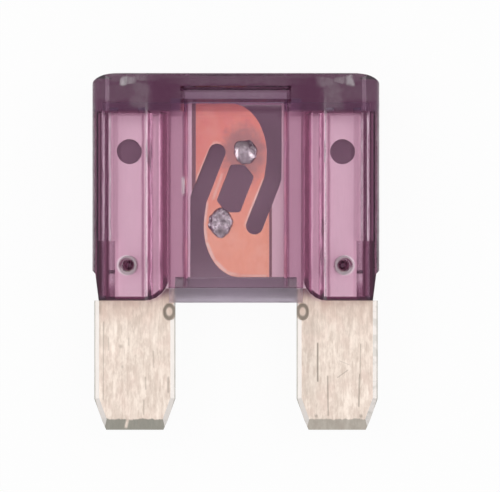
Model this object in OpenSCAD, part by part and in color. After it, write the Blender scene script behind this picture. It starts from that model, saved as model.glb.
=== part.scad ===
// Large plug-in blade fuse: a translucent moulded housing with two hollow columns and a thin
// window, closed below by a plug, around one metal stamping of two blades and an S-shaped link
// that carries two tin pills. It lies on its back: X across, Y towards the head, Z out of the
// window. Each sub-part is drawn with y = 0 at the blade tips and z = 0 in the metal's mid-plane.

/* [Body] */
// Width of the housing across both columns
body_w = 28.4; // [28:0.1:29.6]
// Height from the blade tips to the top of the head
overall_h = 35.4; // [34.4:0.1:36]
// Depth of the head, front to back
body_d = 8.9; // [8.7:0.1:9.6]
// Thickness of the moulded walls
wall = 0.85; // [0.8:0.05:1.1]
// Height of the head flange
head_h = 3.75; // [3.4:0.05:4.2]
// How far the head's top falls towards each end
head_drop = 1.1; // [0.6:0.1:1.5]
// Length over which it falls
head_end = 2.9; // [2.4:0.1:3.2]
// Round of the head's upright corners
head_corner = 2.2; // [1.8:0.1:2.4]
// Round along the top edges of the head
head_edge = 0.7; // [0.4:0.1:1]
// Small round on the moulded edges
edge_r = 0.22; // [0.15:0.01:0.25]

/* [Columns] */
// How far the pads stand back from the head's faces
pad_inset = 0.25; // [0.1:0.05:0.4]
// Width of the flat pad down each column
pad_w = 3.45; // [3:0.05:3.8]
// Distance from the housing's side to the pad
pad_from_side = 1.85; // [1.7:0.05:2.2]
// Width of the sloping flank on the inner side of each column
flank_w = 2.25; // [2:0.05:2.6]
// Height of the flank's inner step above the lands
flank_rise = 0.7; // [0.5:0.05:0.8]
// Width of the ledge half-way up the flank
ledge_w = 0.65; // [0.5:0.05:0.8]
// Depth of the plastic under the ledge and the pad's inner edge
flank_wall = 1.15; // [1:0.05:1.6]
// Round of the column's outer corners
side_round = 1.6; // [1.3:0.1:1.8]
// How much each side draws in towards the bottom, half of it in a step
side_taper = 0.7; // [0.3:0.1:0.8]
// Height of the tapered foot
taper_h = 3.0; // [2:0.5:5]
// Height of the solid guides beside each blade, from the bottom of the column
guide_h = 5.9; // [4:0.1:8]
// Round along the bottom edges of the column
foot_r = 0.5; // [0.3:0.05:0.6]
// Round corner at the inner end of each foot
foot_corner = 2.4; // [1.8:0.1:2.6]
// Width of the notches that the core leaves in the head above each pad
notch_w = 0.75; // [0.6:0.05:0.9]
// Height of those notches
notch_h = 0.5; // [0.3:0.05:0.6]

/* [Window] */
// Width of the window recess
window_w = 9.5; // [9.3:0.1:9.8]
// Distance from the metal's mid-plane to the outside of the window
window_z = 2.3; // [2.1:0.05:2.5]
// Thickness of the window's wall
window_wall = 0.7; // [0.6:0.05:0.9]
// Distance from the metal's mid-plane to the lands beside the window
land_z = 2.9; // [2.7:0.05:3.1]
// Thickness of the plastic under the lands
land_wall = 1.5; // [1.3:0.05:1.9]
// Width of the sloping sides of the window recess
window_slope = 0.35; // [0.2:0.05:0.5]
// Thickness of the head's bar above the window
bar_h = 1.3; // [1:0.05:1.5]
// Height of the step between that bar and the window, level with the lands
step_h = 1.2; // [0.8:0.1:1.5]

/* [Closure] */
// Height of the band between the columns
band_h = 1.4; // [1.2:0.1:1.6]
// How far the band hangs below the columns
band_drop = 0.2; // [0.1:0.05:0.3]

/* [Blades] */
// Width of each blade
blade_w = 8.1; // [7.9:0.05:8.2]
// Thickness of the metal
blade_t = 0.8; // [0.75:0.05:0.9]
// Length of blade below the housing
blade_len = 12.95; // [12:0.05:13.4]
// Distance from the blade's outer edge to the housing's side
blade_inset = 0.05; // [0:0.05:0.2]
// Width of the coined bevel along each long edge
bevel_w = 0.5; // [0.2:0.05:0.7]
// Depth of that bevel on each face
bevel_t = 0.2; // [0.1:0.05:0.25]
// Height of the cut corners at the tip
corner_h = 3.1; // [2:0.1:4]
// Width of the cut corners at the tip
corner_w = 0.8; // [0.5:0.1:1.2]
// Height of the bevelled tip
tip_h = 1.1; // [0.8:0.1:1.5]
// Thickness left at the very tip
tip_t = 0.3; // [0.2:0.05:0.5]
// Radius of the coined pocket at the root of each blade
pocket_r = 0.63; // [0.4:0.01:0.7]
// Depth of the coined pocket
pocket_t = 0.3; // [0.1:0.05:0.4]

/* [Plates] */
// Width of the shoulder where the blade steps in to the plate
shoulder_w = 1.7; // [1.6:0.05:1.9]
// Gap between the two plates, bridged by the link
link_gap = 9.1; // [8.9:0.1:9.2]
// Metal below the top of the housing
plate_drop = 2.85; // [2.6:0.05:3]
// Height of the plate's lower edge above the housing's lower edge
plate_rise = 2.3; // [2.1:0.1:2.6]
// Radius of the pilot hole in each plate
pilot_r = 1.24; // [1:0.01:1.4]
// Pilot holes below the top edge of the plates
pilot_drop = 4.8; // [4.4:0.1:6]
// Radius of the stake hole in each plate
stake_r = 0.6; // [0.5:0.05:0.8]
// Height of the stake holes above the housing's lower edge
stake_rise = 3.5; // [3.2:0.1:4.5]
// Wall of the staked boss round its pit
stake_wall = 0.3; // [0.25:0.05:0.5]
// Depth of that pit
pit_h = 2.0; // [1:0.1:2.4]

/* [Link] */
// Thickness of the milled copper
link_t = 0.5; // [0.4:0.05:0.6]
// Left edge of the milled strip
mill_left = -4.0; // [-4.1:0.05:-3.8]
// Right edge of the milled strip
mill_right = 3.3; // [3:0.05:3.7]
// Angle of the slots and legs from the upright
lean = 21.5; // [20:0.5:24]
// Width of each open slot
slot_w = 1.7; // [1.4:0.05:1.75]
// Distance from the link's centre to the outer wall of each leg, level with the centre
leg_x = 2.4; // [2.3:0.01:2.5]
// Round end of the left slot, above the link's centre
left_slot = 3.8; // [3.6:0.05:3.95]
// Round end of the right slot, below the link's centre
right_slot = 3.55; // [3.4:0.05:3.8]
// Half width of each lobe
lobe_a = 3.57; // [3.5:0.01:3.7]
// Sideways offset of each lobe's centre
lobe_x = 0.42; // [0.35:0.01:0.5]
// Height of each lobe's centre from the link's centre
lobe_y = 3.6; // [3.3:0.05:3.8]
// Half width of the middle opening, level with its centre
eye_x = 1.4; // [1.3:0.02:1.46]
// Half height of the middle opening
eye_y = 2.38; // [2.2:0.02:2.4]
// How far the middle opening sits above the link's centre
eye_rise = 0.18; // [0:0.02:0.2]
// Round of the middle opening's corners
eye_r = 0.35; // [0.2:0.05:0.4]

/* [Tin pills] */
// Radius of a pill's head
pill_r = 1.2; // [0.9:0.01:1.22]
// Height of a pill's head
pill_h = 0.45; // [0.3:0.05:0.5]
// Radius of a pill's shank
shank_r = 0.58; // [0.4:0.02:0.6]
// Upper pill, right of the link's centre
upper_x = 0.95; // [0.85:0.05:1.05]
// Upper pill, below the top edge of the plates
upper_drop = 4.85; // [4.75:0.05:5]
// Lower pill, left of the link's centre
lower_x = 1.45; // [1.35:0.05:1.5]
// Lower pill, above the lower edge of the plates
lower_rise = 5.4; // [5.2:0.05:5.45]

/* [Clearances] */
// Gap between the metal and the plastic that guides it
fit = 0.05; // [0.03:0.01:0.08]
// Gap between a pill and the hole that it fills
pill_fit = 0.02; // [0.01:0.01:0.03]

/* [Hidden] */
$fn = 48;
eps = 0.01;

half_w = body_w / 2;
half_d = body_d / 2;
half_t = blade_t / 2;
top = overall_h;
bottom = blade_len;
head_bottom = top - head_h;

pad_z = half_d - pad_inset;
pad_out = half_w - pad_from_side;
pad_in = pad_out - pad_w;
pad_x = (pad_out + pad_in) / 2;
column_in = pad_in - flank_w;
ledge_in = column_in + 0.4 * flank_w;
window_x = window_w / 2;
window_top = top - bar_h;

blade_out = half_w - blade_inset;
blade_in = blade_out - blade_w;
shoulder_y = bottom - fit;
plate_out = blade_out - shoulder_w;
plate_in = link_gap / 2;
plate_top = top - plate_drop;
plate_bottom = bottom + plate_rise;

slot_z = half_t + fit;
band_bottom = bottom - band_drop;
centre_bottom = band_bottom + band_h + fit;
chamber_x = column_in - wall / 5;
chamber_z = window_z - window_wall;
land_chamber_z = land_z - land_wall;
chamber_top = plate_top + wall / 2;
cavity_in = column_in + 0.9 * wall;
cavity_z = pad_z - wall;
ledge_z = land_z + flank_rise;
step_z = ledge_z - flank_wall;
cavity_top = head_bottom - wall / 5;
guide_x = plate_out + 2 * fit;

pilot_y = plate_top - pilot_drop;
stake_y = bottom + stake_rise;
pit_r = stake_r + fit;
link_x = -0.07;
link_y = (plate_top + plate_bottom) / 2;
link_half_h = (plate_top - plate_bottom) / 2;
lobe_b = link_half_h - lobe_y;
upper_pill = [link_x + upper_x, plate_top - upper_drop];
lower_pill = [link_x - lower_x, plate_bottom + lower_rise];

// Shared shapes and placing

function arc(cx, cy, rx, ry, from, to, steps) =
    [for (i = [0:steps]) let (a = from + (to - from) * i / steps) [cx + rx * cos(a), cy + ry * sin(a)]];

function unit(v) = v / norm(v);

// Arc of radius r that takes the place of corner p between points a and b
function fillet(a, p, b, r) = let (
    to_a = unit(a - p),
    to_b = unit(b - p),
    half = acos(to_a * to_b) / 2,
    centre = p + unit(to_a + to_b) * r / sin(half),
    start = p + to_a * r / tan(half) - centre,
    end = p + to_b * r / tan(half) - centre
)
    [for (i = [0:3]) centre + r * unit(start * (3 - i) + end * i)];

// A closed outline with every corner rounded
function rounded(points, r) = let (n = len(points)) [
    for (i = [0:n - 1]) each fillet(points[(i + n - 1) % n], points[i], points[(i + 1) % n], r)
];

// An open outline with every inner corner rounded by the moulding's small radius
function eased(points) = [
    for (i = [0:len(points) - 1])
        each i == 0 || i == len(points) - 1 ? [points[i]] : fillet(points[i - 1], points[i], points[i + 1], edge_r)
];

function flipped(points) = [for (i = [len(points) - 1:-1:0]) [points[i][0], -points[i][1]]];

// The frame that the whole fuse shares: on its back, centred across and along
module place() translate([0, -top / 2, half_d]) children();

module both_sides() {
    children();
    mirror([1, 0, 0]) children();
}

// A section in X and Z, drawn out along Y
module along_y(from, to) translate([0, to, 0]) rotate([90, 0, 0]) linear_extrude(to - from) children();

// A section in Y and Z, drawn out along X
module along_x(from, to) translate([from, 0, 0]) rotate([90, 0, 90]) linear_extrude(to - from) children();

// An outline in X and Y, drawn out along Z
module along_z(from, to) translate([0, 0, from]) linear_extrude(to - from) children();

// Housing

// One column seen from below: flat pads front and back, stepped inner flanks, rounded outer corners
module column_section() {
    front = concat(
        eased([
            [column_in - edge_r, land_z],
            [column_in, land_z],
            [ledge_in, ledge_z],
            [ledge_in + ledge_w, ledge_z + flank_rise / 6],
            [pad_in - edge_r / 2, pad_z],
            [pad_out, pad_z]
        ]),
        arc(half_w - side_round, pad_z - side_round, side_round, side_round, 90, 0, 8)
    );
    polygon(concat(front, flipped(front)));
}

// Lands and window seen from below, with sloping sides to the window recess
module centre_section() {
    side = eased([
        [0, window_z],
        [window_x, window_z],
        [window_x + window_slope, land_z],
        [column_in + eps, land_z]
    ]);
    right = concat(side, flipped(side));
    polygon(concat(right, -right));
}

// Front outline of the housing: tapered feet, and a head that falls away at its ends
module body_outline() {
    side = concat(
        [
            [half_w - side_taper, bottom],
            [half_w - side_taper / 2, bottom + taper_h - side_taper / 2],
            [half_w, bottom + taper_h]
        ],
        arc(half_w - head_end, top - head_drop, head_end, head_drop, 0, 90, 8)
    );
    mirrored = [for (i = [len(side) - 1:-1:0]) [-side[i][0], side[i][1]]];
    polygon(concat(side, mirrored));
}

// Column seen from the side, its bottom edges rounded
module column_profile() {
    front = concat(
        arc(bottom + foot_r, pad_z - foot_r, foot_r, foot_r, 180, 90, 5),
        [[top, pad_z]]
    );
    polygon(concat(front, flipped(front)));
}

// Round inner corner at the foot of a column
module column_outline() {
    polygon(concat(
        [[half_w, bottom], [half_w, top - head_edge], [column_in, top - head_edge]],
        arc(column_in + foot_corner, bottom + foot_corner, foot_corner, foot_corner, 180, 270, 6)
    ));
}

// Head seen from above: a long block with round upright corners
module head_section() {
    x = half_w - head_corner;
    z = half_d - head_corner;
    right = concat(
        arc(x, z, head_corner, head_corner, 90, 0, 8),
        arc(x, -z, head_corner, head_corner, 0, -90, 8)
    );
    polygon(concat(right, -right));
}

// Head seen from the side, its top edges rounded
module head_profile() {
    front = concat(
        [[head_bottom, half_d]],
        arc(top - head_edge, half_d - head_edge, head_edge, head_edge, 90, 0, 5)
    );
    polygon(concat(front, flipped(front)));
}

// The window and a step above it, cut out of the head
module window_recess() {
    recess = [
        [centre_bottom - eps, window_z],
        [window_top - step_h - window_slope, window_z],
        [window_top - step_h, land_z],
        [window_top - window_slope, land_z],
        [window_top, half_d + eps],
        [centre_bottom - eps, half_d + eps]
    ];
    side = [
        [-window_x, window_z - eps],
        [window_x, window_z - eps],
        [window_x + window_slope, land_z],
        [window_x + 2 * window_slope, half_d + eps],
        [-window_x - 2 * window_slope, half_d + eps],
        [-window_x - window_slope, land_z]
    ];
    intersection() {
        along_x(-half_w, half_w) polygon(recess);
        along_y(centre_bottom - 1, top + 1) polygon(side);
    }
}

module housing_outside() {
    intersection() {
        union() {
            both_sides() intersection() {
                along_y(bottom, top - head_edge) column_section();
                along_z(-half_d, half_d) column_outline();
                along_x(column_in - wall, half_w) column_profile();
            }
            along_y(centre_bottom, head_bottom + eps) centre_section();
            intersection() {
                along_y(head_bottom, top) head_section();
                along_x(-half_w, half_w) head_profile();
            }
        }
        along_z(-half_d, half_d) body_outline();
    }
}

// Hollow of one column, cored from below: shallow under the flank and deep under the pad
function core_section(side) = let (
    front = concat([[cavity_in, step_z], [pad_in - edge_r, step_z], [pad_in, cavity_z]], side)
) concat(front, flipped(front));

module column_cavity() {
    wide = arc(half_w - side_round, pad_z - side_round, side_round - wall, side_round - wall, 90, 0, 5);
    narrow = [[pad_out - 2 * edge_r, cavity_z], [guide_x, cavity_z - wall / 2]];
    along_y(bottom + guide_h, cavity_top) polygon(core_section(wide));
    along_y(bottom - wall, bottom + guide_h + eps) polygon(core_section(narrow));
    for (x = [pad_in, pad_out - notch_w], face = [0, 180])
        translate([x, cavity_top, 0]) rotate([0, face, 0])
            translate([face > 0 ? -notch_w : 0, -eps, cavity_z - wall]) cube([notch_w, notch_h + eps, wall]);
}

// Space round the link behind the window, shallower behind the lands
module link_chamber() along_y(centre_bottom - wall, chamber_top) {
    square([2 * window_x + eps, 2 * chamber_z], center = true);
    square([2 * chamber_x, 2 * land_chamber_z], center = true);
}

// Slot that the stamping slides up in, from the bottom to its seat under the head
module metal_slot() along_z(-slot_z, slot_z) polygon([
    [-guide_x, bottom - wall],
    [guide_x, bottom - wall],
    [guide_x, plate_top + fit],
    [-guide_x, plate_top + fit]
]);

// Plastic pressed down from the pad, front and back, into the metal's stake hole
module stake_bosses() translate([pad_x, stake_y, 0]) for (face = [0, 180]) rotate([0, face, 0]) {
    translate([0, 0, slot_z]) cylinder(r = pit_r + stake_wall, h = cavity_z - slot_z + eps);
    translate([0, 0, fit]) cylinder(r = stake_r - fit, h = slot_z);
}

// Pointed pit that the staking punch leaves in each pad
module stake_pits() translate([pad_x, stake_y, 0]) for (face = [0, 180]) rotate([0, face, 0]) {
    translate([0, 0, pad_z - pit_h]) cylinder(r1 = pit_r / 3, r2 = pit_r, h = pit_h);
    translate([0, 0, pad_z - eps]) cylinder(r = pit_r, h = wall);
}

module housing() color([0.55, 0.33, 0.5, 0.6]) place() difference() {
    union() {
        difference() {
            housing_outside();
            window_recess();
            rotate([0, 180, 0]) window_recess();
            both_sides() column_cavity();
            link_chamber();
            metal_slot();
        }
        both_sides() stake_bosses();
    }
    both_sides() stake_pits();
}

// Closure between the blades: a band flush with the lands and a plug inside the chamber

module bottom_closure() color([0.62, 0.55, 0.64, 0.8]) place() {
    band_x = column_in - fit;
    plug_x = blade_in - 2 * fit;
    window_plug_x = window_x - fit;
    difference() {
        union() {
            along_y(band_bottom, centre_bottom - fit) square([2 * band_x, 2 * land_z], center = true);
            along_y(bottom, plate_bottom - 2 * fit) {
                square([2 * window_plug_x, 2 * (chamber_z - fit)], center = true);
                square([2 * plug_x, 2 * (land_chamber_z - fit)], center = true);
            }
        }
        both_sides() translate([plug_x, band_bottom - wall, -slot_z])
            cube([band_x, plate_bottom - band_bottom + wall, 2 * slot_z]);
    }
}

// Metal stamping: blades, plates and link in one piece

module blade_outline() polygon([
    [blade_out, shoulder_y],
    [blade_in, shoulder_y],
    [blade_in, corner_h],
    [blade_in + corner_w, 0.8 * tip_h],
    [blade_in + 1.5 * corner_w, 0],
    [blade_out - 1.5 * corner_w, 0],
    [blade_out - corner_w, 0.8 * tip_h],
    [blade_out, corner_h]
]);

// Long edges coined to a bevel on both faces
module blade_section() polygon([
    [blade_in, half_t - bevel_t],
    [blade_in + bevel_w, half_t],
    [blade_out - bevel_w, half_t],
    [blade_out, half_t - bevel_t],
    [blade_out, bevel_t - half_t],
    [blade_out - bevel_w, -half_t],
    [blade_in + bevel_w, -half_t],
    [blade_in, bevel_t - half_t]
]);

module blade_profile() polygon([
    [0, tip_t / 2],
    [tip_h, half_t],
    [shoulder_y, half_t],
    [shoulder_y, -half_t],
    [tip_h, -half_t],
    [0, -tip_t / 2]
]);

// Everything to one side of the line from a to b, coined to the same bevel along that line
module coined_side(a, b, side) translate([a[0], a[1], 0])
    rotate([0, 0, atan2(b[1] - a[1], b[0] - a[0]) - 90])
        along_y(-blade_len, 2 * blade_len) scale([side, 1]) polygon([
            [0, half_t - bevel_t],
            [bevel_w, half_t],
            [2 * blade_w, half_t],
            [2 * blade_w, -half_t],
            [bevel_w, -half_t],
            [0, bevel_t - half_t]
        ]);

module blade() intersection() {
    along_z(-half_t, half_t) blade_outline();
    along_y(0, shoulder_y) blade_section();
    along_x(blade_in, blade_out) blade_profile();
    coined_side([blade_in + corner_w, 0.8 * tip_h], [blade_in, corner_h], 1);
    coined_side([blade_out - corner_w, 0.8 * tip_h], [blade_out, corner_h], -1);
}

module plate() along_z(-half_t, half_t) polygon([
    [plate_out, shoulder_y - wall],
    [plate_out, plate_top],
    [plate_in, plate_top],
    [plate_in, plate_bottom],
    [blade_in, plate_bottom],
    [blade_in, shoulder_y],
    [blade_in + bevel_w, shoulder_y - wall]
]);

// Half of the link's edge: over the upper lobe, down the right leg, round the end of the slot
// beside it and up into the right plate. The other half is the same, turned by 180 degrees.
function half_edge(slot_end) =
    let (
        overlap = 0.2,
        shoulder = 1.2,
        r = slot_w / 2,
        end_x = leg_x - slot_end * tan(lean) + r / cos(lean),
        rise = (plate_in + overlap - end_x - r * cos(lean)) / tan(lean)
    )
    concat(
        [[-plate_in - overlap, link_half_h]],
        arc(-lobe_x, lobe_y, lobe_a, lobe_b, 90, -15, 18),
        [[leg_x + shoulder * tan(lean), shoulder]],
        arc(end_x, -slot_end, r, r, 180 - lean, 360 - lean, 12),
        [[plate_in + overlap, rise - slot_end - r * sin(lean)]]
    );

// Six-sided opening between the legs
module eye() {
    lean_x = eye_y * tan(lean);
    shoulder = eye_y / 2;
    upper = [
        [eye_x + shoulder * tan(lean), shoulder],
        [lean_x, eye_y],
        [lean_x - eye_x, eye_y]
    ];
    translate([0, eye_rise]) polygon(rounded(concat(upper, -upper), eye_r));
}

module link_outline() translate([link_x, link_y]) difference() {
    polygon(concat(half_edge(right_slot), -half_edge(left_slot)));
    eye();
}

module fuse_element() color("silver") place() difference() {
    union() {
        both_sides() blade();
        both_sides() plate();
        along_z(-half_t, half_t) link_outline();
    }
    for (pill = [upper_pill, lower_pill])
        translate([pill[0], pill[1], -half_t]) cylinder(r = shank_r + pill_fit, h = blade_t);
    for (z = [link_t / 2, -half_t - eps])
        translate([mill_left, plate_bottom - 1, z])
            cube([mill_right - mill_left, plate_top - plate_bottom + 2, half_t - link_t / 2 + eps]);
    both_sides() {
        translate([pad_x, pilot_y, -half_t - eps]) cylinder(r = pilot_r, h = blade_t + 2 * eps);
        translate([pad_x, stake_y, -half_t - eps]) cylinder(r = stake_r, h = blade_t + 2 * eps);
        for (y = [-0.2, 0.2])
            translate([blade_in + 0.93 * pocket_r, shoulder_y - 1.8 * pocket_r + y, half_t - pocket_t])
                cylinder(r = pocket_r, h = blade_t);
    }
}

// Tin pills: a shank through the link with a domed head on each face

module tin_pill() {
    seat = link_t / 2 + pill_fit;
    upper = concat([[shank_r, seat], [pill_r, seat]], arc(0, seat, pill_r, pill_h, 15, 90, 6));
    lower = concat([[shank_r, -seat], [pill_r, -seat]], arc(0, -seat, pill_r, pill_h, -15, -90, 6));
    backwards = [for (i = [len(lower) - 1:-1:0]) lower[i]];
    rotate_extrude() polygon(concat(backwards, upper));
}

module tin_pill_upper() color("lightgray") place()
    translate([upper_pill[0], upper_pill[1], 0]) tin_pill();

module tin_pill_lower() color("lightgray") place()
    translate([lower_pill[0], lower_pill[1], 0]) tin_pill();

housing();
bottom_closure();
fuse_element();
tin_pill_upper();
tin_pill_lower();
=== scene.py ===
"""Looks of a large plug-in blade fuse, laid out as a Blender add-on and run as a script."""

import math
from functools import reduce

import bmesh
import bpy
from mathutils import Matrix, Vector, noise


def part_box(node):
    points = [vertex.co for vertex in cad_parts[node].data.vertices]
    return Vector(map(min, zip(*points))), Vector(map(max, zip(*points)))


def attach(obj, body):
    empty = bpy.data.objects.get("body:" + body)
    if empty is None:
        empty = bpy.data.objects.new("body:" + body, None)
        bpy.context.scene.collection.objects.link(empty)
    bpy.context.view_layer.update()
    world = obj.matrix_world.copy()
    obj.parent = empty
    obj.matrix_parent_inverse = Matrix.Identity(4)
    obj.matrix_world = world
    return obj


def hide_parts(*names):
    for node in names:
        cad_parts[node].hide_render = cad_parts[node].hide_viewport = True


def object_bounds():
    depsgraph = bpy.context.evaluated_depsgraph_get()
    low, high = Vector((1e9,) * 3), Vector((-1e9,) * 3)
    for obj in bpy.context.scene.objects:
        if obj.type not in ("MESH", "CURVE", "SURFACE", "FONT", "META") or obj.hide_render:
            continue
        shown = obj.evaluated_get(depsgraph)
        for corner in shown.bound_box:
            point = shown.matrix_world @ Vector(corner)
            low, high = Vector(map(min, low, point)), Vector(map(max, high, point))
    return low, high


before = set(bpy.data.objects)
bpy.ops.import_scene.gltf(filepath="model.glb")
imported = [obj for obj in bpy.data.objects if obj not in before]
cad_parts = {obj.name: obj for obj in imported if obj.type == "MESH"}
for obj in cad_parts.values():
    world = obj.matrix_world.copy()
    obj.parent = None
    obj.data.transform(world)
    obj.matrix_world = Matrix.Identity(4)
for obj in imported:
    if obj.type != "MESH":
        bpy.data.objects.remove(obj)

bl_info = {
    "name": "Blade fuse",
    "version": (1, 0, 0),
    "blender": (4, 5, 0),
    "location": "3D View > Sidebar > Blade fuse",
    "description": "Finishes a large plug-in blade fuse around its CAD parts",
    "category": "Object",
}

MM = 0.001
CAD_LOW, CAD_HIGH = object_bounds()
CENTRE = (CAD_LOW + CAD_HIGH) / 2
METAL_LOW, METAL_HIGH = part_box("fuse_element")
HOUSING_LOW, HOUSING_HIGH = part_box("housing")
MID_Z = (METAL_LOW.z + METAL_HIGH.z) / 2

# The photograph is 500 pixels wide and 492 high, and these place the fuse in it
PHOTO_W = 500
PHOTO_H = 492
FUSE_X_PX = 236.0
FUSE_Y_PX = 252.5
MM_PER_PX = 0.0999

# Places that the finishes follow, in millimetres from the middle of the fuse at the blade tips
HOUSING_Y = (HOUSING_LOW.y - CAD_LOW.y) / MM
HEAD_Y = 31.7
WINDOW_X = 4.9
WINDOW_TOP = 32.7
PIT = (10.75, 16.45)
POCKET = (6.66, 11.8)
POCKET_RADII = (0.56, 0.78)
BLADE_IN = 6.17
BLADE_OUT = 14.03
ROOT_Y = 11.4
WORN_X = 12.0
UPPER_PILL = (0.75, 27.6)
UPPER_PILL_TOP = 28.1
UPPER_LOBE_Y = 24.0
CUTTER_Y = 31.0

# The blades' corners are cut off below this height, by so much inwards for each millimetre down
CUT_TOP = 3.1
CUT_SLOPE = 0.26

# Round corner at the inner end of each column's foot: its centre, its radius and where it ends
CORNER_X = 9.05
CORNER_Y = 15.35
CORNER_R = 2.4
CORNER_TOP = 14.1

# The painted violet shadow on the tin beside that corner: where it starts and ends across the
# fuse, where it turns deeper, and how high it starts in the middle of the fuse and sinks for each
# millimetre out
CAST_IN = 6.3
CAST_OUT = 8.9
CAST_DEEP = 7.45
CAST_Y = 15.2
CAST_SLOPE = 0.25

# Widths of the painted shade on the steps to the left and right of the milled strip
STEP_LEFT = 0.4
STEP_RIGHT = 0.28

# Where the duller tin to the right of that strip starts and ends
BAND_IN = 3.4
BAND_OUT = 4.9

# Bright nick across the left blade's grey tip, where its painted shade is left out: start, end,
# width
NICK = ((-11.0, 0.2), (-10.75, 1.3), 0.28)

# Scratches and duller bands on the blades: start, end, width and depth of tone
SCRATCHES = (
    ((8.15, 8.7), (8.15, 4.8), 0.16, 1.0),
    ((9.15, 5.4), (9.2, 1.4), 0.14, 0.7),
    ((12.45, 8.6), (12.4, 5.6), 0.1, 0.5),
    ((12.35, 5.6), (12.25, 2.3), 0.16, 0.7),
    ((10.1, 5.2), (11.2, 6.0), 0.1, 0.5),
    ((10.3, 6.9), (11.3, 6.5), 0.08, 0.35),
    ((7.95, 1.55), (8.05, 1.25), 0.3, 0.8),
    ((12.45, 1.5), (12.5, 1.25), 0.3, 0.8),
    ((-13.2, 10.8), (-13.25, 3.0), 0.12, 0.45),
    ((-13.75, 13.1), (-13.7, 11.4), 0.6, 0.5),
    ((-13.75, 13.0), (-13.7, 8.6), 0.4, 0.25),
    ((13.6, 13.0), (13.65, 10.6), 0.5, 0.22),
    ((7.35, 11.6), (7.45, 3.2), 1.3, 0.2),
    ((-12.7, 9.2), (-12.7, 7.9), 0.12, 0.4),
    ((-11.5, 8.45), (-11.45, 8.2), 0.3, 0.5),
    ((-11.35, 6.4), (-11.3, 6.2), 0.28, 0.5),
    ((-10.7, 9.2), (-10.7, 8.4), 0.14, 0.4),
    ((-9.05, 5.3), (-9.0, 4.0), 0.14, 0.45),
    ((-8.25, 7.9), (-8.2, 6.2), 0.14, 0.4),
    ((-9.2, 3.0), (-9.2, 1.5), 0.14, 0.4),
    ((-6.75, 5.3), (-6.75, 3.7), 0.22, 0.6),
)

# Painted shade: darker streaks down the columns, where their walls stand on edge, and across the
# head:
# distance from the middle, width, depth of shade, lower and upper end
SHADE_STREAKS = (
    (13.42, 0.5, 1.0, 13.0, 31.6),
    (12.6, 0.25, 0.3, 13.0, 31.6),
    (11.85, 0.5, 0.07, 13.0, 31.6),
    (9.15, 0.25, 0.2, 13.0, 31.6),
    (8.45, 0.35, 0.4, 13.0, 31.6),
    (7.3, 0.3, 0.75, 13.0, 31.6),
    (7.0, 0.4, 0.5, 13.0, 31.6),
    (5.1, 0.28, 0.42, 14.3, 32.4),
    (9.7, 9.0, 0.16, 31.2, 31.9),
    (6.8, 3.4, 0.2, 31.7, 35.4),
    (0, 30.0, 0.1, 31.7, 35.4),
    (0, 30.0, 0.3, 35.25, 35.6),
)

# The painted shade of the streaks lies in the faces that are further than this from the metal's
# mid-plane
SHADE_STREAK_Z = 1.2

# Painted sheens, pale highlights on the housing: middle, half width, half height, strength
SHEENS = (
    ((-11.0, 34.65), 0.4, 0.5, 1.0),
    ((-10.3, 34.6), 0.5, 0.45, 0.6),
    ((-9.3, 34.85), 0.6, 0.25, 0.3),
    ((-9.3, 33.7), 0.7, 0.7, 0.22),
    ((-11.0, 34.95), 3.0, 0.35, 0.16),
    ((11.2, 34.65), 0.35, 0.5, 0.9),
    ((10.2, 34.7), 0.6, 0.35, 0.45),
    ((9.6, 33.5), 0.8, 0.8, 0.24),
    ((11.2, 34.9), 2.4, 0.35, 0.16),
    ((0, 34.98), 9.0, 0.14, 0.12),
    ((0, 33.5), 4.7, 0.45, 0.16),
    ((0, 32.92), 4.7, 0.16, 0.14),
    ((-11.6, 33.6), 2.4, 0.9, 0.1),
    ((11.6, 33.6), 2.4, 0.9, 0.1),
    ((-14.1, 24.0), 0.2, 7.4, 0.3),
    ((14.1, 24.0), 0.2, 7.4, 0.3),
    ((-8.8, 22.5), 0.14, 10.0, 0.55),
    ((8.8, 22.5), 0.14, 10.0, 0.55),
    ((0, 34.6), 5.5, 0.35, 0.12),
    ((9.0, 34.5), 0.9, 0.45, 0.3),
    ((-5.15, 24.3), 0.22, 0.8, 0.9),
    ((-9.5, 32.6), 0.8, 0.6, 0.2),
    ((9.6, 32.3), 0.8, 0.6, 0.22),
    ((-5.6, 14.7), 0.5, 0.4, 0.25),
    ((5.6, 14.7), 0.5, 0.4, 0.25),
)

# Refraction of both plastics, and of the thin coat that makes the painted sheens, high enough to
# look pale
PLASTIC_IOR = 1.5
SHEEN_IOR = 3.6

# Painted glints, highlights on the upper pill: start, end, width, strength
GLINTS = (
    ((0.05, 28.0), (0.02, 26.95), 0.34, 1.0),
    ((1.35, 27.65), (1.7, 27.15), 0.3, 1.0),
    ((2.0, 27.4), (2.25, 26.9), 0.26, 0.8),
)

# Painted highlights along the copper's edges: start, end, width, strength
RIM_HIGHLIGHTS = (
    ((-4.0, 24.85), (-2.6, 28.0), 0.26, 0.7),
    ((-2.6, 28.0), (-2.1, 28.7), 0.3, 0.8),
    ((-2.1, 28.7), (-1.55, 28.55), 0.3, 0.6),
    ((2.75, 25.0), (1.15, 21.0), 0.3, 0.8),
    ((1.1, 21.0), (0.95, 20.3), 0.3, 0.5),
    ((1.6, 25.3), (0.4, 22.2), 0.2, 0.4),
    ((-1.35, 25.6), (-2.3, 23.0), 0.24, 0.5),
    ((-2.95, 22.7), (-3.2, 20.5), 0.4, 0.9),
    ((-3.2, 20.5), (-3.0, 18.8), 0.4, 1.0),
    ((-3.0, 18.8), (-2.2, 16.95), 0.36, 0.9),
    ((-2.2, 16.95), (-0.95, 15.72), 0.36, 0.8),
    ((-0.95, 15.72), (0.4, 15.38), 0.32, 0.6),
    ((0.4, 15.38), (3.1, 15.38), 0.26, 0.5),
    ((3.1, 29.4), (3.3, 26.6), 0.3, 0.5),
)

# The tin pills: node, how many times as long as wide its heads have set, its place in the noise
PILLS = (("tin_pill_upper", 1.05, 3.0), ("tin_pill_lower", 1.22, 11.0))

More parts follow.
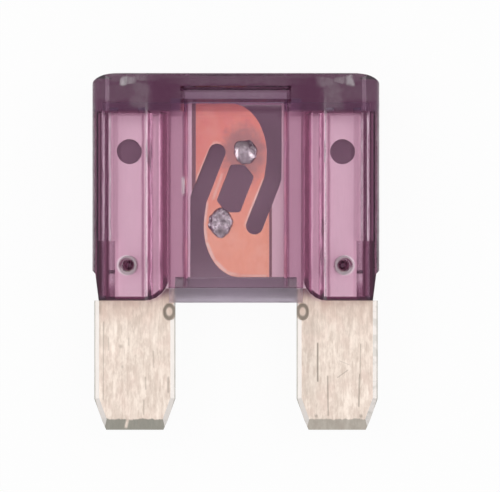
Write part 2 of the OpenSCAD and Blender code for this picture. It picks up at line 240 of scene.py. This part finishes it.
# Radius and half height of a pill's waist, which sits in the copper and keeps its shape
WAIST_R = 0.7 * MM
WAIST_Z = 0.3 * MM

# Size of the pills' lumps and of the finer ones on them
LUMP = 0.6 * MM
FINE_LUMP = 0.28 * MM

# Within this distance from the middle the floor's shade reaches 1 mm further up
SHADE_TALL_X = 4.8

# Place of the right side lamp, mirrored for the left one, and the size of both, in metres
LAMP_X, LAMP_Y, LAMP_Z = 0.16, 0.03, 0.2
LAMP_SIZE = 0.16


# Shader maths

# Sockets of a Mix node: its number, and the two colours that come after its numbers and vectors
MIX_FACTOR, MIX_FIRST, MIX_SECOND = 0, 6, 7


class Value:
    """One socket of a finish's nodes. The operators on it add Math nodes."""

    def __init__(self, finish, socket):
        self.finish = finish
        self.socket = socket

    def output(self, name):
        return Value(self.finish, self.socket.node.outputs[name])

    def maths(self, operation, first, second=0.0, clamp=False):
        sockets = {0: first, 1: second}
        return self.finish.add("ShaderNodeMath", sockets, operation=operation, use_clamp=clamp)

    def __add__(self, other):
        return self.maths("ADD", self, other)

    def __radd__(self, other):
        return self.maths("ADD", other, self)

    def __sub__(self, other):
        return self.maths("SUBTRACT", self, other)

    def __rsub__(self, other):
        return self.maths("SUBTRACT", other, self)

    def __mul__(self, other):
        return self.maths("MULTIPLY", self, other)

    def __rmul__(self, other):
        return self.maths("MULTIPLY", other, self)

    def __truediv__(self, other):
        return self.maths("DIVIDE", self, other)

    def __pow__(self, other):
        return self.maths("POWER", self, other)

    def __abs__(self):
        return self.maths("ABSOLUTE", self)

    def above(self, edge, blur):
        """0 below the edge and 1 above it, with a straight ramp as wide as blur."""
        return self.maths("ADD", (self - edge) / blur, 0.5, clamp=True)

    def below(self, edge, blur):
        return 1 - self.above(edge, blur)

    def between(self, low, high, blur):
        return self.above(low, blur) * self.below(high, blur)

    def larger(self, other):
        return self.maths("MAXIMUM", self, other)


def largest(masks):
    return reduce(Value.larger, masks)


def distance(x, y):
    """How far x and y are from 0, 0."""
    return (x * x + y * y) ** 0.5


class Finish:
    """A material or world while it is made. Its nodes all come from add."""

    def __init__(self, owner):
        self.owner = owner
        owner.use_nodes = True
        self.tree = owner.node_tree
        self.tree.nodes.clear()

    def add(self, kind, sockets=None, **settings):
        """Adds a node, sets it, feeds its sockets and gives its first output."""
        node = self.tree.nodes.new(kind)
        for key, value in settings.items():
            if key == "stops":
                self.set_stops(node.color_ramp, value)
            else:
                setattr(node, key, value)
        for key, value in (sockets or {}).items():
            self.feed(node.inputs[key], value)
        return Value(self, next((socket for socket in node.outputs if socket.enabled), None))

    def feed(self, socket, value):
        if isinstance(value, Value):
            self.tree.links.new(value.socket, socket)
        elif socket.type == "RGBA":
            socket.default_value = (*value, 1)
        else:
            socket.default_value = value

    @staticmethod
    def set_stops(ramp, stops):
        while len(ramp.elements) < len(stops):
            ramp.elements.new(1)
        for element, (place, tone) in zip(ramp.elements, stops):
            element.position = place
            element.color = tone

    def place(self):
        """Object coordinates in millimetres, from the middle of the metal at the blade tips."""
        sockets = {
            "Vector": self.add("ShaderNodeTexCoord").output("Object"),
            "Location": (0, -CAD_LOW.y / MM, -MID_Z / MM),
            "Scale": (1 / MM, 1 / MM, 1 / MM),
        }
        return self.add("ShaderNodeMapping", sockets, vector_type="POINT")

    def axes(self):
        split = self.add("ShaderNodeSeparateXYZ", {0: self.place()})
        return split.output("X"), split.output("Y"), split.output("Z")

    def upright(self):
        """1 on faces that look straight up or down, and 0 on those that stand on edge."""
        normal = self.add("ShaderNodeNewGeometry").output("Normal")
        return abs(self.add("ShaderNodeSeparateXYZ", {0: normal}).output("Z"))

    def noise(self, stretch, detail=2.0, rough=0.5, seed=0.0):
        """Noise from 0 to 1, with stretch waves to a millimetre along X, Y and Z."""
        sockets = {"Vector": self.place(), "Location": (seed, seed, seed), "Scale": stretch}
        vector = self.add("ShaderNodeMapping", sockets, vector_type="POINT")
        sockets = {"Vector": vector, "Scale": 1.0, "Detail": detail, "Roughness": rough}
        return self.add("ShaderNodeTexNoise", sockets)

    def mix(self, factor, first, second):
        """A colour that goes from first to second as factor goes from 0 to 1."""
        sockets = {MIX_FACTOR: factor, MIX_FIRST: first, MIX_SECOND: second}
        return self.add("ShaderNodeMix", sockets, data_type="RGBA")

    def paint(self, ground, layers):
        """A ground colour under layers of strength and colour, the last on top."""
        for strength, layer in layers:
            ground = self.mix(strength, ground, layer)
        return ground

    def deepen(self, tone, deepest):
        """White where tone is 0 and deepest where it is 1, with the fall of thicker plastic."""
        parts = [step / 4 for step in range(5)]
        stops = [(part, (*(channel**part for channel in deepest), 1)) for part in parts]
        return self.add("ShaderNodeValToRGB", {"Fac": tone}, stops=stops)

    def bump(self, height, distance):
        return self.add("ShaderNodeBump", {"Height": height, "Distance": distance})

    def line(self, start, end, width):
        """1 on a straight line in X and Y between two points, 0 beside it."""
        x, y, _ = self.axes()
        run = Vector(end) - Vector(start)
        along = run.normalized()
        across = abs((x - start[0]) * along.y - (y - start[1]) * along.x)
        travel = (x - start[0]) * along.x + (y - start[1]) * along.y
        return across.below(width / 2, width / 2) * travel.between(0, run.length, width)

    def lines(self, table):
        """Straight lines from one point to another, each with its width and depth."""
        return largest(self.line(*ends, width) * depth for *ends, width, depth in table)

    def close(self, surface, volume=None):
        sockets = {"Surface": surface}
        if volume is not None:
            sockets["Volume"] = volume
        self.add("ShaderNodeOutputMaterial", sockets)
        return self.owner


def new_finish(name):
    return Finish(bpy.data.materials.new(name))


def ways_seen(finish):
    """1 for what the camera sees itself, and 1 for what it sees in gloss or through plastic."""
    path = finish.add("ShaderNodeLightPath")
    through = path.output("Is Glossy Ray").larger(path.output("Is Transmission Ray"))
    return path.output("Is Camera Ray"), through


# Materials


def violet_plastic(look):
    finish = new_finish("violet_plastic")
    x, y, z = finish.axes()
    across = abs(x)
    ripple = finish.noise((0.5, 0.35, 0.5), detail=1.0)
    grain = finish.noise((9, 4, 9), seed=4.0)
    # Painted shade: dark streaks along the walls and a dark line round each foot corner
    tone = streaks(finish, across, y, abs(z)).larger(foot_shade_line(across, y))
    # Painted shade: the head's plastic is darkened, deeper towards its middle and along its top
    # edge
    head = finish.mix(tone.above(0.15, 0.1), look.head_colour, look.head_shade)
    past_window = across.above(WINDOW_X, 0.2).larger(y.above(WINDOW_TOP, 0.1))
    in_head = y.above(HEAD_Y, 0.12) * past_window
    glass = finish.add(
        "ShaderNodeBsdfPrincipled",
        {
            "Base Color": finish.mix(in_head, finish.deepen(tone, look.streak_shade_colour), head),
            "Roughness": look.plastic_roughness + 0.05 * grain,
            "IOR": PLASTIC_IOR,
            "Specular Tint": look.gloss_tint,
            "Transmission Weight": 1.0,
            # Painted sheens and the painted highlight round each pit, laid on as a coat
            "Coat Weight": sheens(finish, x, y),
            "Coat IOR": SHEEN_IOR,
            "Coat Roughness": 0.1,
            "Normal": finish.bump(ripple + 0.02 * grain, 0.05 * MM),
        },
    )
    return see_through(finish, glass, look, look.plastic_tint, look.plastic_density)


def streaks(finish, across, y, height):
    """How deep the painted shade is along the walls, wavering a little on the way down."""
    waver = finish.noise((0.3, 0.5, 0.3), detail=1.0, seed=8.0) - 0.5
    tones = []
    for place, width, depth, low, high in SHADE_STREAKS:
        beside = abs(across + waver * 0.12 - place).below(width / 2, max(0.16, width * 0.3))
        tones.append(beside * y.between(low, high, 0.2) * depth)
    return largest(tones) * height.above(SHADE_STREAK_Z, 0.1)


def sheens(finish, x, y):
    """Painted sheens: pale highlight patches of uneven outline on the housing's moulding."""
    grain = finish.noise((2.5, 1.2, 1.0), seed=12.0).above(0.45, 0.5)
    waver = finish.noise((1.3, 1.3, 1.3), seed=14.0) - 0.5
    patches = []
    for (place_x, place_y), half_width, half_height, strength in SHEENS:
        shift = waver * (1.8 * min(half_width, half_height))
        wide = abs(x + shift - place_x).below(half_width, max(0.15, half_width * 0.8))
        tall = abs(y - shift - place_y).below(half_height, max(0.12, half_height * 0.6))
        patches.append(wide * tall * strength)
    return (largest(patches) * (0.5 + 0.5 * grain)).larger(pit_highlight(abs(x), y))


def pit_highlight(across, y):
    """Painted highlight: a pale ring round each column's small pit, broader below it."""
    out = distance(across - PIT[0], y - PIT[1])
    lower = out.between(0.45, 0.8, 0.1) * y.below(PIT[1] - 0.15, 0.4)
    return out.between(0.72, 1.0, 0.1).larger(lower) * 0.8


def in_corner(across, y):
    """How far inside the round corner at the inner end of a column's foot a point lies."""
    return CORNER_R - distance((CORNER_X - across).larger(0), (CORNER_Y - y).larger(0))


def foot_shade_line(across, y):
    """Painted shade: the dark line round that corner."""
    return in_corner(across, y).below(0.4, 0.12) * y.below(CORNER_TOP, 0.4)


def see_through(finish, glass, look, tint, density):
    """Lets lamps through a clear shell and tints what crosses it by the depth of the plastic."""
    is_shadow = finish.add("ShaderNodeLightPath").output("Is Shadow Ray")
    clear = finish.add("ShaderNodeBsdfTransparent", {"Color": look.shadow_tint})
    surface = finish.add("ShaderNodeMixShader", {0: is_shadow, 1: glass, 2: clear})
    volume = finish.add("ShaderNodeVolumeAbsorption", {"Color": tint, "Density": density / MM})
    return finish.close(surface, volume)


def lavender_plastic(look):
    finish = new_finish("lavender_plastic")
    cloud = finish.noise((0.8, 0.8, 0.8), detail=3.0, seed=2.0)
    glass = finish.add(
        "ShaderNodeBsdfPrincipled",
        {
            "Base Color": (1, 1, 1),
            "Roughness": 0.25 + 0.1 * cloud,
            "IOR": PLASTIC_IOR,
            "Transmission Weight": 1.0,
            "Normal": finish.bump(cloud, 0.04 * MM),
        },
    )
    return see_through(finish, glass, look, look.closure_tint, look.closure_density)


def tinned_copper(look):
    finish = new_finish("tinned_copper")
    x, y, _ = finish.axes()
    streak = finish.noise((5.5, 0.6, 5.5), detail=3.0, rough=0.6)
    fine = finish.noise((15, 2.2, 15), seed=7.0)
    brushed = streak * 0.65 + fine * 0.35
    at_corner = in_corner(abs(x), y).below(0, 0.1) * y.below(CORNER_TOP, 0.1)
    outside = y.below(HOUSING_Y, 0.1).larger(at_corner)
    # Painted light: the tin inside the housing is a lighter, pinker copy of the bare tin outside
    inner = finish.mix(brushed.above(0.5, 0.6), look.inner_shade, look.inner_colour)
    band = x.between(BAND_IN, BAND_OUT, 0.1) * y.above(look.plate_rise / MM, 0.1)
    plate = finish.paint(
        finish.mix(outside, inner, bare_tin(finish, look, y, brushed)),
        (
            foot_shadow(finish, look, abs(x), y, outside),
            (band * 0.55, look.band_colour),
            (finish.lines(SCRATCHES) * 0.75, look.scratch_and_shade_colour),
            (pocket_shade(abs(x), y) * 0.85, look.scratch_and_shade_colour),
            *edge_shade_and_wear(finish, look, x, y, streak, outside),
            (milled_step_shade(look, x, y) * 0.85, look.step_shade_colour),
        ),
    )
    milled = x.between(look.mill_left / MM, look.mill_right / MM, 0.05)
    milled = milled * y.above(look.plate_rise / MM, 0.05)
    metal = finish.add(
        "ShaderNodeBsdfPrincipled",
        {
            "Base Color": finish.mix(milled, plate, milled_copper(finish, look, x, y)),
            "Metallic": 1.0,
            "Roughness": 0.34 + 0.16 * brushed,
            "Normal": finish.bump(brushed, 0.02 * MM),
        },
    )
    return finish.close(metal)


def bare_tin(finish, look, y, brushed):
    """Brushed plating of the blades, mottled, and browner towards their roots."""
    blotch = finish.noise((0.7, 0.5, 0.7), seed=3.0)
    broad = finish.noise((1.6, 0.22, 1.0), seed=15.0)
    mottle = finish.noise((2.4, 1.1, 1.0), detail=4.0, rough=0.6, seed=18.0)
    return finish.paint(
        finish.mix(brushed.above(0.5, 0.28), look.tin_shade, look.tin_colour),
        (
            (blotch.above(0.58, 0.25) * 0.5, look.tin_flush),
            (broad.above(0.6, 0.2) * 0.7, look.tin_light),
            (mottle.above(0.55, 0.24) * 0.32, look.tin_stain),
            (mottle.below(0.42, 0.18) * 0.38, look.tin_light),
            (y.above(ROOT_Y, 2.2) * 0.8 * blotch, look.tin_root),
        ),
    )


def foot_shadow(finish, look, across, y, outside):
    """A painted violet shadow that the columns' corners cast on the tin beside them, as one layer.
    """
    cast = (y + across * CAST_SLOPE).above(CAST_Y, 0.8) * across.between(CAST_IN, CAST_OUT, 0.3)
    tone = finish.mix(across.above(CAST_DEEP, 0.3), look.foot_shade, look.foot_shadow_colour)
    return cast * outside * 0.8, tone


def pocket_shade(across, y):
    """Painted shade in the coined pocket at the root of each blade, as a dark ring."""
    from_x = (across - POCKET[0]) / POCKET_RADII[0]
    from_y = (y - POCKET[1]) / POCKET_RADII[1]
    return distance(from_x, from_y).between(0.55, 1.08, 0.25)


def edge_shade_and_wear(finish, look, x, y, streak, outside):
    """Painted shade on the blades, as layers: grey tip bevels, darker coined bevels by which way
    they face, a dark outline and dark sides, with worn grey on the right blade's bevels.
    """
    ragged = finish.noise((2.0, 0.6, 1.0), detail=3.0, seed=9.0)
    tip = (y + (ragged - 0.5) * 0.5).below(look.tip_height / MM, 0.12) * (0.75 + 0.25 * streak)
    tip = tip * (1 - finish.line(*NICK)) * (0.7 + 0.3 * x.below(0, 0.1))
    upright = finish.upright()
    bevel = upright.between(0.85, 0.955, 0.02) * outside
    worn = finish.noise((1.1, 1.6, 1.0), seed=21.0).above(0.55, 0.12) * x.above(WORN_X, 0.2)
    cut = (CUT_TOP - y).larger(0) * CUT_SLOPE
    outline = (abs(x) + cut).above(BLADE_OUT, 0.06).larger((abs(x) - cut).below(BLADE_IN, 0.06))
    return (
        (tip, look.tip_shade_and_wear_colour),
        (bevel * 0.9, look.bevel_shade_colour),
        (bevel * worn * 0.3, look.tip_shade_and_wear_colour),
        (outline * outside * (0.35 + 0.5 * ragged), look.tip_shade_and_wear_colour),
        (upright.below(0.5, 0.3) * outside * 0.6, look.tip_shade_and_wear_colour),
    )


def milled_step_shade(look, x, y):
    """Painted shade on the steps down both sides of the milled strip."""
    left, right = look.mill_left / MM, look.mill_right / MM
    left_step = x.between(left - STEP_LEFT, left, 0.06)
    right_step = x.between(right, right + STEP_RIGHT, 0.06)
    return left_step.larger(right_step) * y.above(look.plate_rise / MM, 0.05)


def milled_copper(finish, look, x, y):
    """Bright copper, browned round the upper pill, with the cutter's marks across its top and
    painted highlights along its edges.
    """
    cloud = finish.noise((0.6, 0.5, 0.6), seed=3.0)
    grain = finish.noise((1.7, 1.4, 1.7), detail=4.0, rough=0.6, seed=6.0)
    cut = finish.noise((0.25, 6.0, 1.0), detail=1.0, seed=1.0).above(0.55, 0.2)
    out = distance(x - UPPER_PILL[0], (y - UPPER_PILL[1]) * 0.85)
    browned = (out + (grain - 0.5) * 2.2).below(2.25, 1.3)
    return finish.paint(
        finish.mix(y.above(UPPER_LOBE_Y, 9.0), look.copper_colour, look.copper_shade),
        (
            (cloud.above(0.6, 0.3) * 0.35, look.copper_light),
            (cut * y.above(CUTTER_Y, 0.8) * 0.4, look.copper_cut),
            (finish.lines(RIM_HIGHLIGHTS) * 0.85, look.copper_rim_highlight),
            (grain.above(0.53, 0.2) * 0.3, look.copper_stain),
            (browned * 0.8, look.brown_colour),
        ),
    )


def tin(look):
    """Lumpy tin of the pills, darker at the top of the upper one and with its painted glints."""
    finish = new_finish("tin")
    _, y, _ = finish.axes()
    lump = finish.noise((1.6, 1.6, 1.6), detail=3.0, seed=5.0)
    lumps = finish.paint(
        finish.mix(lump.above(0.5, 0.5), look.pill_shade, look.pill_colour),
        (
            (y.above(UPPER_PILL_TOP, 0.9) * 0.7, look.pill_top),
            (finish.lines(GLINTS), look.pill_glint),
        ),
    )
    metal = finish.add(
        "ShaderNodeBsdfPrincipled",
        {
            "Base Color": lumps,
            "Metallic": 1.0,
            "Roughness": 0.14 + 0.2 * lump,
            "Normal": finish.bump(lump, 0.15 * MM),
        },
    )
    return finish.close(metal)


# Sizes and colours


def colour(name, description, default):
    return bpy.props.FloatVectorProperty(
        name=name, description=description, default=default, subtype="COLOR", min=0.0, max=1.0
    )


def number(name, description, default, **limits):
    return bpy.props.FloatProperty(name=name, description=description, default=default, **limits)


def length(name, description, default):
    return number(name, description, default, unit="LENGTH")


class BladeFuseLook(bpy.types.PropertyGroup):
    """Colours and finishes of the fuse."""

    plastic_tint: colour("Plastic", "Colour that the housing lets through", (0.65, 0.43, 0.55))
    plastic_density: number("Plastic density", "Strength of that colour for each mm", 0.64)
    plastic_roughness: number("Plastic haze", "Haze of the housing's faces", 0.04, min=0, max=1)
    gloss_tint: colour("Gloss", "Tint of the plastic's reflections", (1.0, 0.6, 0.88))
    shadow_tint: colour("Shadow", "Tint of lamplight past either plastic", (0.76, 0.7, 0.755))
    # Painted shade of the housing's streaks and foot lines
    streak_shade_colour: colour("Streaks", "Tone of walls that stand on edge", (0.06, 0.012, 0.03))
    # Painted shade for the head, deeper towards its middle
    head_colour: colour("Head", "Tone of the head's outer ends", (0.62, 0.72, 0.76))
    head_shade: colour("Head shade", "Deeper tone towards the head's middle", (0.52, 0.49, 0.6))
    closure_tint: colour("Closure", "Colour that the closure lets through", (0.62, 0.5, 0.64))
    closure_density: number("Closure density", "Strength of that colour for each mm", 0.2)
    tin_colour: colour("Tin", "Light streaks of the tin plate", (0.8, 0.69, 0.61))
    tin_shade: colour("Tin shade", "Dark streaks of the tin plate", (0.62, 0.52, 0.45))
    tin_light: colour("Tin light", "Cream streaks of the tin plate", (0.93, 0.82, 0.73))
    tin_stain: colour("Tin stain", "Grey-brown mottling of the tin plate", (0.52, 0.41, 0.35))
    tin_root: colour("Tin root", "Brownish tone at the blades' roots", (0.6, 0.42, 0.34))
    tin_flush: colour("Tin flush", "Pink blotches of copper under tin", (0.78, 0.62, 0.55))
    # Painted light: a lighter, pinker copy of the tin for where it lies inside the housing
    inner_colour: colour("Inner tin", "Light streaks inside the housing", (1.0, 0.8, 0.88))
    inner_shade: colour("Inner tin shade", "Dark streaks inside the housing", (0.9, 0.7, 0.78))
    # Painted violet shadow on the tin beside the columns' corners, deeper next to the closure
    foot_shadow_colour: colour("Foot", "Violet cast beside the columns' corners", (0.42, 0.2, 0.29))
    foot_shade: colour("Foot shade", "Deeper cast next to the closure", (0.2, 0.09, 0.14))
    band_colour: colour("Plate band", "Duller tin beside the milled strip", (0.6, 0.42, 0.46))
    # Scratches on the blades, and the painted shade in their root pockets
    scratch_and_shade_colour: colour("Scratches", "Scratches and grime on the blades", (0.2, 0.17, 0.14))
    # Painted shade on the coined bevels, picked by which way they face
    bevel_shade_colour: colour("Bevels", "Bright coined edges of the blades", (0.58, 0.55, 0.53))
    # Painted shade on the blades' tip bevels, outline and sides, with worn grey on the right
    # blade's bevels
    tip_shade_and_wear_colour: colour("Tips", "Worn grey of the blades' tips and edges", (0.24, 0.24, 0.21))
    # Height of the painted shade on the tips
    tip_height: length("Tip height", "Height of the worn tips", 0.0011)
    copper_colour: colour("Copper", "Bright milled copper", (1.0, 0.5, 0.33))
    copper_shade: colour("Copper shade", "Redder copper of the upper lobe", (0.9, 0.33, 0.27))
    copper_light: colour("Copper light", "Pale clouds on the copper", (1.0, 0.62, 0.48))
    copper_stain: colour("Copper stain", "Deeper orange mottling", (0.9, 0.36, 0.22))
    # Painted highlights along the copper's edges
    copper_rim_highlight: colour("Copper rim", "Bright edges of the copper", (1.0, 0.84, 0.74))
    copper_cut: colour("Cutter marks", "Dark lines across the copper's top", (0.72, 0.28, 0.24))
    brown_colour: colour("Browned copper", "Tone round the upper pill", (0.42, 0.26, 0.24))
    # Painted shade on the steps beside the milled strip
    step_shade_colour: colour("Step", "Dark edges of the milled strip", (0.13, 0.04, 0.04))
    pill_colour: colour("Pills", "Light lumps of the pills", (0.6, 0.58, 0.62))
    pill_shade: colour("Pill shade", "Dark hollows of the pills", (0.13, 0.14, 0.13))
    pill_top: colour("Pill top", "Dark top of the upper pill", (0.12, 0.13, 0.11))
    # Painted highlights on the upper pill
    pill_glint: colour("Pill glints", "Bright spots on the upper pill", (1.0, 1.0, 1.0))
    mill_left: length("Milled from", "Left edge of the milled strip", -0.004)
    mill_right: length("Milled to", "Right edge of the milled strip", 0.0033)
    plate_rise: length("Plate edge", "Lower edge of the plates, from the blade tips", 0.014)


class BladeFuseStage(bpy.types.PropertyGroup):
    """Camera, floor and lamps."""

    lens: number("Lens", "Focal length of the camera", 200, unit="CAMERA")
    floor_width: length("Floor width", "Side of the square floor", 3.0)
    floor_grey: number("Floor", "How pale the floor itself is", 0.8, min=0, max=1)
    floor_glow: number("Floor glow", "How white it looks to the camera", 0.94, min=0, max=1)
    shade_inset: length("Shade inset", "How far inside the housing its shade shows", 0.0018)
    shade_top: length("Shade top", "Height from the blade tips up to which it shows", 0.0317)
    world_strength: number("Surround", "Light of the surround on dull surfaces", 0.7)
    lamp_power: number("Side lamps", "Power of each side lamp", 0.12, unit="POWER")


# Pieces


class FUSE_OT_housing(bpy.types.Operator):
    """Gives the moulded housing its see-through violet plastic"""

    bl_idname = "blade_fuse.housing"
    bl_label = "Housing"

    def execute(self, context):
        dress("housing", violet_plastic(context.scene.blade_fuse_look))
        return {"FINISHED"}


class FUSE_OT_closure(bpy.types.Operator):
    """Gives the bottom closure its cloudy lavender plastic"""

    bl_idname = "blade_fuse.closure"
    bl_label = "Bottom closure"

    def execute(self, context):
        dress("bottom_closure", lavender_plastic(context.scene.blade_fuse_look))
        return {"FINISHED"}


class FUSE_OT_element(bpy.types.Operator):
    """Gives the stamping its brushed tin plate and milled copper"""

    bl_idname = "blade_fuse.element"
    bl_label = "Fuse element"

    def execute(self, context):
        dress("fuse_element", tinned_copper(context.scene.blade_fuse_look))
        return {"FINISHED"}


class FUSE_OT_pills(bpy.types.Operator):
    """Gives the two tin pills their lumpy bright tin"""

    bl_idname = "blade_fuse.pills"
    bl_label = "Tin pills"

    def execute(self, context):
        material = tin(context.scene.blade_fuse_look)
        for node, stretch, seed in PILLS:
            dress(node, material)
            lumpy_pill(node, stretch, seed, material)
        return {"FINISHED"}


def dress(node, material):
    """Puts a material on the whole of a CAD node."""
    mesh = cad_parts[node].data
    mesh.materials.clear()
    mesh.materials.append(material)


def lumpy_pill(node, stretch, seed, material):
    """A copy of a pill whose two heads have set out of round and longer down the fuse."""
    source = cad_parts[node]
    shape = bmesh.new()
    shape.from_mesh(source.data)
    shape.transform(source.matrix_world)
    bmesh.ops.remove_doubles(shape, verts=shape.verts, dist=0.001 * MM)
    bmesh.ops.subdivide_edges(shape, edges=shape.edges, cuts=2, use_grid_fill=True)
    low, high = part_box(node)
    middle = (low + high) / 2
    for vert in shape.verts:
        out = vert.co - middle
        height = abs(out.z)
        if math.hypot(out.x, out.y) < WAIST_R and height < WAIST_Z:
            continue
        wave = noise.noise(out / LUMP + Vector((seed, 0, 0)))
        fine = noise.noise(out / FINE_LUMP + Vector((0, seed, 0)))
        vert.co.x += out.x * 0.16 * wave
        vert.co.y += out.y * (stretch - 1 + 0.16 * wave)
        if height > WAIST_Z:
            vert.co.z += math.copysign((0.14 * wave + 0.06 * fine) * MM, out.z)
    piece = new_object(node + "_lumpy", shape, material)
    for face in piece.data.polygons:
        face.use_smooth = True
    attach(piece, "root")
    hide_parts(node)


def new_object(name, shape, material):
    """Turns a finished bmesh into an object in the scene."""
    mesh = bpy.data.meshes.new(name)
    shape.to_mesh(mesh)
    shape.free()
    mesh.materials.append(material)
    piece = bpy.data.objects.new(name, mesh)
    bpy.context.scene.collection.objects.link(piece)
    return piece


class FUSE_OT_stage(bpy.types.Operator):
    """Lays the white floor and sets the camera, lamps and surround"""

    bl_idname = "blade_fuse.stage"
    bl_label = "Stage"

    def execute(self, context):
        stage = context.scene.blade_fuse_stage
        lay_floor(stage)
        set_surround(stage)
        for x in (-LAMP_X, LAMP_X):
            hang_lamp((x, LAMP_Y, LAMP_Z), stage.lamp_power)
        set_camera(stage)
        context.scene.view_settings.view_transform = "Standard"
        return {"FINISHED"}


def lay_floor(stage):
    shape = bmesh.new()
    bmesh.ops.create_grid(shape, x_segments=1, y_segments=1, size=stage.floor_width / 2)
    bmesh.ops.translate(shape, verts=shape.verts, vec=(0, 0, CAD_LOW.z - 0.02 * MM))
    new_object("floor", shape, white_floor(stage))


def white_floor(stage):
    """White to the camera, but for the floor's own shade that shows through the housing."""
    finish = new_finish("white_floor")
    x, y, _ = finish.axes()
    inset = stage.shade_inset / MM
    under = x.between(HOUSING_LOW.x / MM + inset, HOUSING_HIGH.x / MM - inset, 0.6)
    top = stage.shade_top / MM + abs(x).below(SHADE_TALL_X, 0.1)
    under = under * y.above(HOUSING_Y, 0.6) * (top - y).above(0, 0.6)
    camera, through = ways_seen(finish)
    seen = camera.larger(through * (1 - under))
    paper = finish.add("ShaderNodeBsdfDiffuse", {"Color": (stage.floor_grey,) * 3})
    glow = finish.add("ShaderNodeEmission", {"Color": (1, 1, 1), "Strength": 1.0})
    return finish.close(
        finish.add("ShaderNodeMixShader", {0: seen * stage.floor_glow, 1: paper, 2: glow})
    )


def set_surround(stage):
    """A surround that is plain white to the camera and dimmer as a light."""
    finish = Finish(bpy.data.worlds.new("white_surround"))
    camera, through = ways_seen(finish)
    strength = stage.world_strength + (1 - stage.world_strength) * camera.larger(through)
    back = finish.add("ShaderNodeBackground", {"Color": (1, 1, 1), "Strength": strength})
    finish.add("ShaderNodeOutputWorld", {"Surface": back})
    bpy.context.scene.world = finish.owner


def hang_lamp(place, power):
    data = bpy.data.lights.new("side_lamp", "AREA")
    data.size = LAMP_SIZE
    data.energy = power
    lamp = bpy.data.objects.new("side_lamp", data)
    lamp.location = place
    lamp.rotation_euler = (CENTRE - Vector(place)).to_track_quat("-Z", "Y").to_euler()
    bpy.context.scene.collection.objects.link(lamp)


def set_camera(stage):
    """Looks straight down, from where the fuse's scale and place match the photograph."""
    data = bpy.data.cameras.new("camera")
    data.lens = stage.lens
    data.clip_start = 0.001
    data.clip_end = 10
    camera = bpy.data.objects.new("camera", data)
    bpy.context.scene.collection.objects.link(camera)
    half_width = PHOTO_W * MM_PER_PX * MM / 2
    height = half_width / (data.sensor_width / 2 / data.lens)
    aim_x = CENTRE.x + (PHOTO_W / 2 - FUSE_X_PX) * MM_PER_PX * MM
    aim_y = CENTRE.y + (FUSE_Y_PX - PHOTO_H / 2) * MM_PER_PX * MM
    camera.location = (aim_x, aim_y, MID_Z + height)
    bpy.context.scene.camera = camera


class FUSE_PT_panel(bpy.types.Panel):
    """Lists the fuse's pieces, colours and stage"""

    bl_idname = "FUSE_PT_panel"
    bl_label = "Blade fuse"
    bl_space_type = "VIEW_3D"
    bl_region_type = "UI"
    bl_category = "Blade fuse"

    def draw(self, context):
        for step in STEPS:
            self.layout.operator(step.bl_idname)
        for group in (context.scene.blade_fuse_look, context.scene.blade_fuse_stage):
            for name in group.__annotations__:
                self.layout.prop(group, name)


STEPS = (FUSE_OT_housing, FUSE_OT_closure, FUSE_OT_element, FUSE_OT_pills, FUSE_OT_stage)
CLASSES = (BladeFuseLook, BladeFuseStage, *STEPS, FUSE_PT_panel)


def register():
    for kind in CLASSES:
        bpy.utils.register_class(kind)
    bpy.types.Scene.blade_fuse_look = bpy.props.PointerProperty(type=BladeFuseLook)
    bpy.types.Scene.blade_fuse_stage = bpy.props.PointerProperty(type=BladeFuseStage)


def unregister():
    del bpy.types.Scene.blade_fuse_stage
    del bpy.types.Scene.blade_fuse_look
    for kind in reversed(CLASSES):
        bpy.utils.unregister_class(kind)


def main():
    register()
    for step in STEPS:
        group, name = step.bl_idname.split(".")
        getattr(getattr(bpy.ops, group), name)()


if __name__ == "__main__":
    main()
